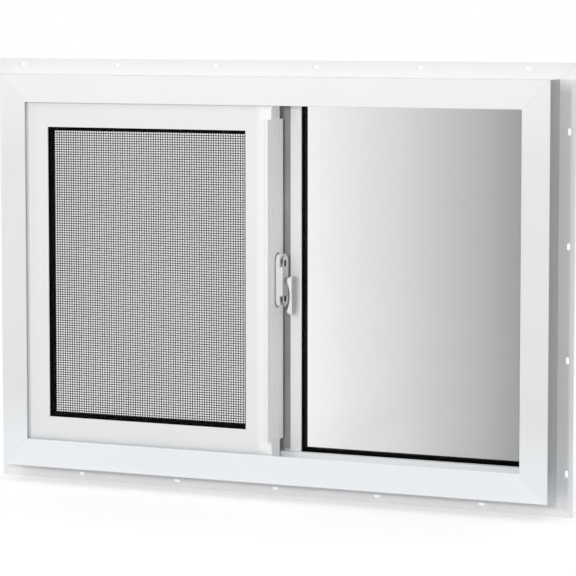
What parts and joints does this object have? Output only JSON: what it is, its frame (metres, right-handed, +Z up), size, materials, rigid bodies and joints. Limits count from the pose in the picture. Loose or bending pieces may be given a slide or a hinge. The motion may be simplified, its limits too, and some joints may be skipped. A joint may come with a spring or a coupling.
{
  "type": "horizontal sliding window",
  "caption": "White vinyl sliding window with nailing fin, one sash that slides on rollers, a fixed lite, a half insect screen and a turning latch.",
  "frame": {"origin": "on the room-side face of the sill's nailing fin, at the middle of the width and 5 mm below the frame", "axes": "+X to the right seen from the room, +Y outwards away from the room, +Z up"},
  "size_m": [0.8494, 0.0864, 0.5954],
  "materials": {
    "white_vinyl": "smooth satin",
    "clear_glass": "clear, lightly coated",
    "black_spacer": "matt",
    "grey_pile": "woven pile",
    "white_aluminium": "satin paint",
    "screen_mesh": "coated glass-fibre mesh",
    "white_latch": "satin paint",
    "screw_steel": "plated",
    "roller_nylon": "smooth",
    "track_aluminium": "mill"
  },
  "bodies": {
    "frame": {"frame_sill": "white_vinyl", "frame_head": "white_vinyl", "frame_left_jamb": "white_vinyl", "frame_right_jamb": "white_vinyl", "roller_track": "track_aluminium", "fixed_stile": "white_vinyl", "interlock_pile": "grey_pile", "fixed_pane_inner": "clear_glass", "fixed_pane_outer": "clear_glass", "fixed_spacer": "black_spacer", "fixed_bead_sill": "white_vinyl", "fixed_bead_head": "white_vinyl", "fixed_bead_left": "white_vinyl", "fixed_bead_right": "white_vinyl", "screen_bar_sill": "white_aluminium", "screen_bar_head": "white_aluminium", "screen_bar_left": "white_aluminium", "screen_bar_right": "white_aluminium", "screen_mesh": "screen_mesh"},
    "sash": {"sash_bottom_rail": "white_vinyl", "sash_top_rail": "white_vinyl", "sash_left_stile": "white_vinyl", "sash_meeting_stile": "white_vinyl", "sash_pane_inner": "clear_glass", "sash_pane_outer": "clear_glass", "sash_spacer": "black_spacer", "sash_bead_sill": "white_vinyl", "sash_bead_head": "white_vinyl", "sash_bead_left": "white_vinyl", "sash_bead_right": "white_vinyl", "sash_roller_left": "roller_nylon", "sash_roller_right": "roller_nylon", "latch_base": "white_latch", "latch_screw_top": "screw_steel", "latch_screw_bottom": "screw_steel"},
    "latch": {"latch_lever": "white_latch"}
  },
  "joints": [
    {"name": "sash_slide", "type": "slide", "parent": "frame", "child": "sash", "axis": [1, 0, 0], "range_m": [0, 0.325]},
    {"name": "latch_turn", "type": "hinge", "parent": "sash", "child": "latch", "pos_m": [0.01027, -0.013, 0.28123], "axis": [-1, 0, 0], "range_deg": [0, 180]}
  ]
}
